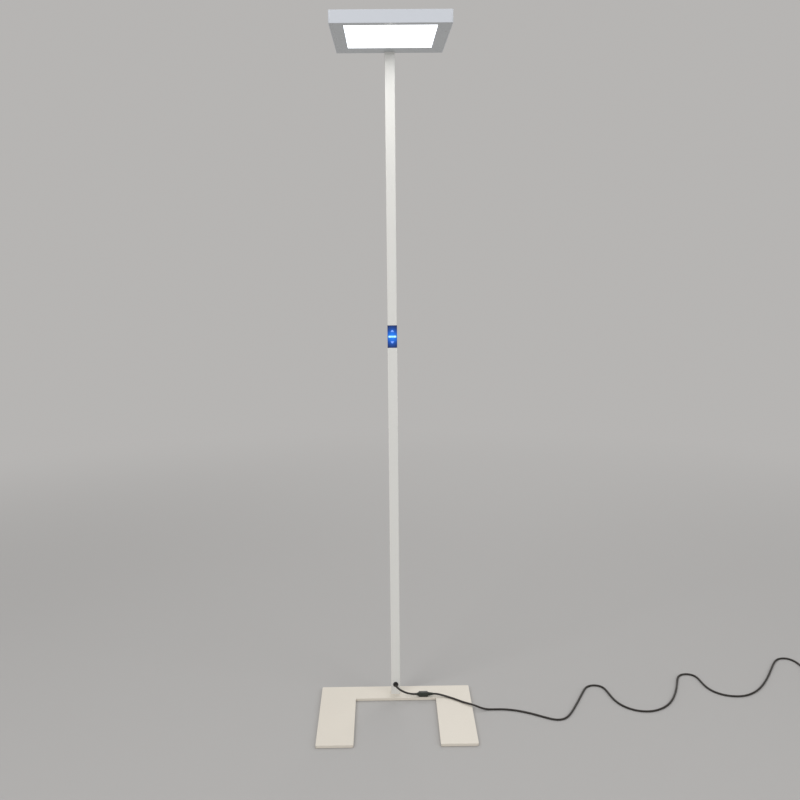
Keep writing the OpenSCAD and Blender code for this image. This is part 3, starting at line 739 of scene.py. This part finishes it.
def cord_curve(name, points, thick, material):
    """A round cord along its centreline, as one open curve."""
    curve = bpy.data.curves.new(name, "CURVE")
    curve.dimensions = "3D"
    line = curve.splines.new("POLY")
    kept = [points[0]]
    for point in points[1:]:
        if (point - kept[-1]).length > LEAST_STEP:
            kept.append(point)
    line.points.add(len(kept) - 1)
    for spot, point in zip(line.points, kept):
        spot.co = (*point, 1)
    curve.bevel_depth = thick / 2
    curve.bevel_resolution = 5
    curve.use_fill_caps = True
    curve.materials.append(material)
    cord = bpy.data.objects.new(name, curve)
    bpy.context.scene.collection.objects.link(cord)
    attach(cord, BODY)
    return cord


def paint(material, *nodes):
    """Gives solids their finish."""
    for node in nodes:
        NODES[node].data.materials.clear()
        NODES[node].data.materials.append(material)


# ---------------------------------------------------------------- settings


def length_setting(label, text, value):
    """A length that can be changed, in metres."""
    return bpy.props.FloatProperty(
        name=label, description=text, default=value, min=0.0, unit="LENGTH", precision=5)


def colour_setting(label, text, value):
    """A colour that can be changed."""
    return bpy.props.FloatVectorProperty(
        name=label, description=text, default=value, min=0.0, max=1.0, size=3, subtype="COLOR")


def plain_setting(label, text, value):
    """A plain number that can be changed."""
    return bpy.props.FloatProperty(name=label, description=text, default=value, min=0.0)


class LampSizes(bpy.types.PropertyGroup):
    """Sizes of the pieces that this script shapes."""

    head_edge: length_setting("Head edge", "Radius of the head's long edges", 1.2 * MM)
    frame_edge: length_setting("Window edge", "Radius round the light window", 0.5 * MM)
    foot_edge: length_setting("Foot edge", "Radius of the foot plate's top edge", 1.2 * MM)
    key_edge: length_setting("Key edge", "Radius of the keys' and the cover's edges", 0.25 * MM)
    pole_edge: length_setting("Pole end", "Radius of the pole's cut ends", 0.3 * MM)
    cord: length_setting("Lead", "Diameter of the mains lead", 6 * MM)


class LampColours(bpy.types.PropertyGroup):
    """Colours and lights of the lamp."""

    # Painted shade: the head wears the pole's white coat, here made darker and bluer
    head: colour_setting("Head", "Powder coat of the head", (0.66, 0.69, 0.745))
    # Painted shade: the underside is the same white coat, darkened for the shade under the head
    underside: colour_setting("Underside", "Satin coat of the underside", (0.50, 0.535, 0.565))
    pole: colour_setting("Pole", "Powder coat of the pole", (0.77, 0.765, 0.735))
    # Painted light: the foot wears the pole's white coat, here tinted warm as painted warm light
    foot: colour_setting("Foot", "Powder coat of the foot plate", (0.75, 0.695, 0.605))
    panel: colour_setting("Light window", "Colour of the light", (1.0, 1.0, 1.0))
    panel_light: plain_setting("Window light", "Brightness of the light window", 2.6)
    # Part of this glow is painted bloom round the light bar
    glow: colour_setting("Glow", "Blue light behind the control's cover", (0.01, 0.23, 0.95))
    glow_light: plain_setting("Glow light", "Brightness of that glow", 1.0)
    bar: colour_setting("Bar", "Colour of the light bar", (0.26, 0.76, 1.0))
    bar_light: plain_setting("Bar light", "Brightness of the light bar", 1.15)
    symbol: colour_setting("Symbols", "Colour of the keys' symbols", (0.16, 0.31, 0.95))
    symbol_light: plain_setting("Symbol light", "Brightness of the symbols", 1.1)
    cord: colour_setting("Lead", "Colour of the mains lead", (0.018, 0.014, 0.010))
    coupler: colour_setting("Coupler", "Colour of coupler and plug", (0.029, 0.034, 0.026))
    floor: colour_setting("Floor", "Colour of the floor and backdrop", (0.47, 0.46, 0.45))


def sizes():
    """The scene's own sizes."""
    return bpy.context.scene.lamp_sizes


def colours():
    """The scene's own colours and lights."""
    return bpy.context.scene.lamp_colours


# ---------------------------------------------------------------- operators


class AddCamera(bpy.types.Operator):
    """Adds the camera at the photograph's place and angle"""

    bl_idname = "lamp.add_camera"
    bl_label = "Camera"

    def execute(self, context):
        data = bpy.data.cameras.new("photo_camera")
        data.sensor_width = SENSOR_MM
        data.lens = FOCAL_PIXELS / IMAGE_PIXELS * SENSOR_MM
        data.clip_start, data.clip_end = CAMERA_CLIP
        camera = bpy.data.objects.new("photo_camera", data)
        context.scene.collection.objects.link(camera)
        camera.matrix_world = (
            Matrix.Translation(Vector(CAMERA_AT))
            @ Matrix.Rotation(CAMERA_TURN, 4, "Z")
            @ Matrix.Rotation(math.pi / 2 - CAMERA_DOWN, 4, "X")
            @ Matrix.Rotation(CAMERA_ROLL, 4, "Z")
        )
        context.scene.camera = camera
        return {"FINISHED"}


class AddCords(bpy.types.Operator):
    """Adds the short lead, the mains lead with its coil, and the pieces on them"""

    bl_idname = "lamp.add_cords"
    bl_label = "Mains Lead"

    def execute(self, context):
        thick = sizes().cord
        sheath = cord_sheath("lead_sheath", colours().cord)
        shell = moulded("coupler_shell", colours().coupler, 0.4)

        lead = cord_curve("short_lead", spline(LEAD_ROUTE, LEAD_STEPS), thick, sheath)
        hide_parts("lead_cord")
        route = spline(MAINS_ROUTE, MAINS_STEPS)
        tail = spline(TAIL_ROUTE, MAINS_STEPS)
        mains = cord_curve("mains_lead", route + coil_points(thick) + tail, thick, sheath)
        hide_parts("mains_cord", "cord_tail", "cord_coil")

        halves = [
            self.coupler_half("coupler_lead_side", "coupler_socket", -1, LEAD_SIDE_RIBS, shell),
            self.coupler_half("coupler_mains_side", "coupler_plug", 1, MAINS_SIDE_RIBS, shell),
        ]
        plug = self.plug(shell)
        paint(plated("pin_plating", NICKEL, 0.2), "plug_pins")
        paint(brushed("earth_brass", BRASS, 0.3, (20, 1, 20)), "plug_earth")
        tie = self.tie()

        return {"FINISHED"}

    def coupler_half(self, name, node, side, ribs, material):
        """One half of the coupler: a rounded block with a ribbed relief."""
        low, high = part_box(node)
        wide = high.y - low.y
        middle = (low + high) / 2
        joint = low.x if side > 0 else high.x
        relief = high.x - low.x - COUPLER_BODY
        block = bmesh.new()
        bmesh.ops.create_cube(block, size=1)
        bmesh.ops.scale(block, vec=(wide, wide, COUPLER_BODY), verts=block.verts)
        bmesh.ops.translate(block, vec=(0, 0, COUPLER_BODY / 2), verts=block.verts)
        soften(block, COUPLER_CORNER, lambda a, b: abs(a.z - b.z) > COUPLER_BODY / 2, 4)
        soften(block, COUPLER_SHOULDER, at_height(COUPLER_BODY), 3)
        soften(block, COUPLER_JOINT, at_height(0), 2)
        thin = sizes().cord / 2 + RELIEF_SKIN
        sleeve = turned(ribbed(relief, thin + COUPLER_RELIEF, thin, ribs, COUPLER_CUT), 32)
        bmesh.ops.translate(sleeve, vec=(0, 0, COUPLER_BODY), verts=sleeve.verts)
        shape = lay(join(block, sleeve), (joint, middle.y, middle.z), (side, 0, 0))
        return add_piece(name, shape, material, replaces=[node])

    def plug(self, material):
        """The mains plug: its solid with softened rims and a ribbed relief."""
        low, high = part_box("mains_plug")
        middle = (low + high) / 2
        shape = merged_copy("mains_plug")
        inside = (high.x - low.x) / 2 - PLUG_RIM_ZONE
        for y in (low.y, low.y + PLUG_FACE):
            soften(shape, PLUG_RIM, self.plug_rim(y, middle, inside), 2)
        thin = sizes().cord / 2 + PLUG_RELIEF_SKIN
        sleeve = turned(
            ribbed(PLUG_RELIEF, PLUG_RELIEF_ROOT, thin, PLUG_RIBS, PLUG_RELIEF_CUT), 32)
        root = high.y - PLUG_RELIEF - PLUG_RELIEF_SHORT
        lay(sleeve, (middle.x, root, middle.z), (0, 1, 0))
        join(shape, sleeve)
        return add_piece("plug_body", shape, material, replaces=["mains_plug"])

    def plug_rim(self, y, middle, inside):
        """Chooses edges across the plug that lie outside a radius round its middle."""
        return ends(lambda point: (
            abs(point.y - y) < ON_EDGE and (point - middle).xz.length > inside))

    def tie(self):
        """The hook-and-loop tie round the coil."""
        shape = merged_copy("cord_tie")
        soften(shape, TIE_EDGE, lambda a, b: abs(a.y - b.y) < ON_EDGE, 2)
        loops = moulded("tie_loops", TIE_BLACK, 0.85, 0.3 * MM, 1100)
        return add_piece("coil_tie", shape, loops, replaces=["cord_tie"])


class AddHead(bpy.types.Operator):
    """Adds the head's shell and underside frame, with softened edges"""

    bl_idname = "lamp.add_head"
    bl_label = "Head"

    def execute(self, context):
        low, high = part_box("head_housing")
        edge = sizes().head_edge
        shell = merged_copy("head_housing")
        soften(shell, edge, self.side_edge(high.z, low, high, HEAD_RIM_ZONE))
        soften(shell, edge / 2, self.side_edge(low.z, low, high, HEAD_RIM_ZONE / 2), 2)
        # The head's colour carries painted shade
        coat = powder_coat("head_coat_painted_shade", colours().head)
        add_piece("head_shell", shell, coat, replaces=["head_housing"])

        cover = soften(
            merged_copy("head_frame"), sizes().frame_edge, self.window_edge(low.z), 2)
        # The underside's colour carries painted shade
        satin = powder_coat("underside_coat_painted_shade", colours().underside, 0.26, 0.02 * MM)
        add_piece("underside_frame", cover, satin, replaces=["head_frame"])
        return {"FINISHED"}

    def side_edge(self, z, low, high, reach):
        """Chooses edges at a height that lie close to one of the head's four sides."""
        return ends(lambda point: abs(point.z - z) < ON_EDGE and (
            min(point.x - low.x, high.x - point.x) < reach
            or min(point.y - low.y, high.y - point.y) < reach))

    def window_edge(self, z):
        """Chooses edges at a height that lie within the light window's outline."""
        low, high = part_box("diffuser")
        return ends(lambda point: (
            abs(point.z - z) < ON_EDGE
            and low.x - ON_EDGE <= point.x <= high.x + ON_EDGE
            and low.y - ON_EDGE <= point.y <= high.y + ON_EDGE))


class AddLight(bpy.types.Operator):
    """Finishes the lit window and the light's inner layers"""

    bl_idname = "lamp.add_light"
    bl_label = "Light"

    def execute(self, context):
        paint(opal("opal_window", colours().panel, colours().panel_light), "diffuser")
        paint(clear_plastic("guide_acrylic", ACRYLIC_DOTS), "light_guide")
        paint(moulded("reflector_film", FILM_WHITE, 0.6), "reflector_sheet")
        metal = brushed("panel_metal", ROLLED_ALUMINIUM, 0.35, (30, 1, 30))
        paint(metal, "panel_back", "heat_rails")
        paint(board("led_board", BOARD_WHITE), "led_boards")
        paint(moulded("led_lens", LENS_YELLOW, 0.3), "leds")
        return {"FINISHED"}


class AddGear(bpy.types.Operator):
    """Finishes the screws, the bracket and the core, the driver and the wiring"""

    bl_idname = "lamp.add_gear"
    bl_label = "Gear"

    def execute(self, context):
        zinc = plated("screw_zinc", ZINC)
        paint(zinc, "panel_screws", "frame_screws", "bracket_screws", "set_screws", "foot_bolts")
        metal = brushed("bracket_metal", PRESSED_ALUMINIUM, 0.36, (1, 1, 20))
        paint(metal, "head_bracket", "pole_core")
        paint(moulded("gear_case", CASE_WHITE, 0.5), "driver", "dimmer_module")
        paint(moulded("terminal_plastic", TERMINAL_CREAM, 0.4), "terminal_block")
        paint(moulded("wire_sheath", WIRE_RED, 0.4), "head_wiring")
        paint(moulded("cable_sheath", SOFT_BLACK, 0.45), "supply_cable", "control_cable")
        return {"FINISHED"}


class AddPole(bpy.types.Operator):
    """Adds both halves of the pole, with softened ends, and the grommet"""

    bl_idname = "lamp.add_pole"
    bl_label = "Pole"

    def execute(self, context):
        coat = powder_coat("pole_coat", colours().pole)
        for name, node in (("pole_top", "upper_pole"), ("pole_bottom", "lower_pole")):
            low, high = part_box(node)
            shape = merged_copy(node)
            for z in (low.z, high.z):
                soften(shape, sizes().pole_edge, outside(z, high.x - POLE_END_ZONE), 2)
            add_piece(name, shape, coat, replaces=[node])
        self.grommet()
        return {"FINISHED"}

    def grommet(self):
        """A soft ring with a rounded lip, round the lead where it leaves the pole."""
        low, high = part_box("grommet")
        middle = (low + high) / 2
        outer = (high.x - low.x) / 2
        depth = high.y - low.y
        hole = sizes().cord / 2 + ON_EDGE
        mouth = (hole + GROMMET_MOUTH, GROMMET_MOUTH, math.pi)
        lip = (outer - GROMMET_LIP, GROMMET_LIP, math.pi / 2)
        profile = [(hole, depth)]
        for centre, radius, start in (mouth, lip):
            for i in range(GROMMET_ARC + 1):
                angle = start - math.pi / 2 * i / GROMMET_ARC
                profile.append((
                    centre + radius * math.cos(angle), radius * (1 - math.sin(angle))))
        profile += [(outer, GROMMET_OUT), (GROMMET_NECK, GROMMET_OUT)]
        profile += [(GROMMET_NECK, depth), (hole, depth)]
        ring = lay(turned(profile, 48), (middle.x, low.y, middle.z), (0, 1, 0))
        rubber = moulded("grommet_rubber", GROMMET_BLACK, 0.5)
        add_piece("grommet_ring", ring, rubber, replaces=["grommet"])


class AddControl(bpy.types.Operator):
    """Adds the black control: its housing, lit cover and two keys with painted bloom in their
    glow, and light bar
    """

    bl_idname = "lamp.add_control"
    bl_label = "Control"

    def execute(self, context):
        edge = sizes().key_edge
        # The cover's glow includes painted bloom
        glow = black_with_glow_and_painted_bloom("cover_glow_and_painted_bloom", colours().glow, colours().glow_light)
        symbol = lit_symbol("lit_symbol", colours().symbol, colours().symbol_light)
        front = self.at_front(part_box("control_cover")[0].y)

        paint(black_gloss("housing_gloss", HOUSING_BLACK), "control_housing")
        cover = soften(merged_copy("control_cover"), edge, front, 2)
        add_piece("control_face", cover, glow, replaces=["control_cover"])
        # The keys share the cover's finish, painted bloom and all
        for body in ("key_up", "key_down"):
            key = soften(merged_copy(body), edge, front, 2)
            add_piece(body + "_cap", key, glow, body, [body])
            paint(symbol, body + "_symbol")
        paint(lit_bar("lit_bar", colours().bar, colours().bar_light), "light_bar")
        paint(board("control_lacquer", BOARD_GREEN), "control_board")
        paint(moulded("switch_plastic", SOFT_BLACK, 0.4), "tact_switches")
        paint(lit_symbol("small_lights", SMALL_LIGHT_BLUE, 1.0), "control_leds")
        return {"FINISHED"}

    def at_front(self, y):
        """Chooses the edges of a front face, apart from a symbol's."""
        symbol_low, symbol_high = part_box("key_up_symbol")
        half = (symbol_high.x - symbol_low.x) / 2 + SYMBOL_PLAY
        return lambda a, b: (
            abs(a.y - y) < ON_EDGE and abs(b.y - y) < ON_EDGE
            and (max(abs(a.x), abs(b.x)) > half or abs(a.x - b.x) > 2 * half))


class AddFoot(bpy.types.Operator):
    """Adds the foot plate with softened edges, its pads and its block"""

    bl_idname = "lamp.add_foot"
    bl_label = "Foot"

    def execute(self, context):
        low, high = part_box("foot_plate")
        plate = merged_copy("foot_plate")
        soften(plate, sizes().foot_edge, at_height(high.z))
        soften(plate, sizes().foot_edge / 3, outside(low.z, BOLT_ZONE), 2)
        # The foot's coat has painted shade along its low edge
        coat = foot_coat_with_painted_shade("foot_coat_with_painted_shade", colours().foot)
        add_piece("foot", plate, coat, replaces=["foot_plate"])
        paint(pad_rubber("pad_rubber", SOFT_BLACK), "foot_pads")
        paint(brushed("block_steel", STEEL, 0.4), "foot_block")
        return {"FINISHED"}


class AddStage(bpy.types.Operator):
    """Adds the plain floor and the soft studio light"""

    bl_idname = "lamp.add_stage"
    bl_label = "Stage"

    def execute(self, context):
        tone = rgb(colours().floor)
        floor = bmesh.new()
        bmesh.ops.create_circle(floor, cap_ends=True, radius=FLOOR_RADIUS, segments=96)
        mesh = bpy.data.meshes.new("floor")
        floor.to_mesh(mesh)
        floor.free()
        stand = bpy.data.objects.new("floor", mesh)
        context.scene.collection.objects.link(stand)
        mesh.materials.append(self.floor_finish(tone))
        self.world(context.scene, tone)
        for name, at, size, power in STUDIO_LIGHTS:
            self.studio_light(context.scene, name, at, size, power)
        context.scene.view_settings.view_transform = "Standard"
        return {"FINISHED"}

    def floor_finish(self, tone):
        """Matt floor near the lamp, the plain background far from it."""
        f = new_finish("floor_matt")
        across = f.axis("X")
        along = f.axis("Y")
        far = ((across * across + along * along) ** 0.5).ramp(*FLOOR_FADE)
        grain = f.noise(260, 3)
        near = f.node(
            "ShaderNodeBsdfPrincipled",
            sockets={"Base Color": f.blend(grain, rgb(tone, 0.985), rgb(tone, 1.015)),
                     "Roughness": 0.85, "Specular IOR Level": 0.2})
        away = f.node("ShaderNodeEmission", sockets={"Color": tone, "Strength": 1.0})
        both = f.node("ShaderNodeMixShader", sockets={0: far, 1: near, 2: away})
        f.node("ShaderNodeOutputMaterial", sockets={"Surface": both})
        return f.owner

    def world(self, scene, tone):
        """Even light from all round, with the floor's colour behind the lamp."""
        scene.world = bpy.data.worlds.new("studio")
        f = Finish(scene.world)
        camera = f.node("ShaderNodeLightPath", output="Is Camera Ray")
        seen = camera.largest(camera.beside("Is Glossy Ray"))
        seen = seen.largest(camera.beside("Is Transmission Ray"))
        light = f.node(
            "ShaderNodeBackground", sockets={"Color": (1, 1, 1, 1), "Strength": WORLD_LIGHT})
        backdrop = f.node("ShaderNodeBackground", sockets={"Color": tone, "Strength": 1.0})
        both = f.node("ShaderNodeMixShader", sockets={0: seen, 1: light, 2: backdrop})
        f.node("ShaderNodeOutputWorld", sockets={"Surface": both})

    def studio_light(self, scene, name, at, size, power):
        """A large soft light aimed at the middle of the pole."""
        data = bpy.data.lights.new(name, "AREA")
        data.shape = "SQUARE"
        data.size = size
        data.energy = power
        light = bpy.data.objects.new(name, data)
        scene.collection.objects.link(light)
        aim = Vector(STUDIO_AIM) - Vector(at)
        light.matrix_world = (
            Matrix.Translation(Vector(at)) @ aim.to_track_quat("-Z", "Y").to_matrix().to_4x4())


STEPS = (
    AddCamera, AddCords, AddHead, AddLight, AddGear, AddPole, AddControl, AddFoot, AddStage)


class LampPanel(bpy.types.Panel):
    """Lists the lamp's sizes, colours and steps"""

    bl_idname = "VIEW3D_PT_floor_lamp"
    bl_label = "Floor Lamp"
    bl_space_type = "VIEW_3D"
    bl_region_type = "UI"
    bl_category = "Floor Lamp"

    def draw(self, context):
        for group in (context.scene.lamp_sizes, context.scene.lamp_colours):
            box = self.layout.box()
            for name in group.__annotations__:
                box.prop(group, name)
        for step in STEPS:
            self.layout.operator(step.bl_idname)


CLASSES = (LampSizes, LampColours, *STEPS, LampPanel)


def register():
    for made in CLASSES:
        bpy.utils.register_class(made)
    bpy.types.Scene.lamp_sizes = bpy.props.PointerProperty(type=LampSizes)
    bpy.types.Scene.lamp_colours = bpy.props.PointerProperty(type=LampColours)


def unregister():
    del bpy.types.Scene.lamp_colours
    del bpy.types.Scene.lamp_sizes
    for made in reversed(CLASSES):
        bpy.utils.unregister_class(made)


def main():
    register()
    bpy.ops.lamp.add_camera()
    bpy.ops.lamp.add_cords()
    bpy.ops.lamp.add_head()
    bpy.ops.lamp.add_light()
    bpy.ops.lamp.add_gear()
    bpy.ops.lamp.add_pole()
    bpy.ops.lamp.add_control()
    bpy.ops.lamp.add_foot()
    bpy.ops.lamp.add_stage()


if __name__ == "__main__":
    main()
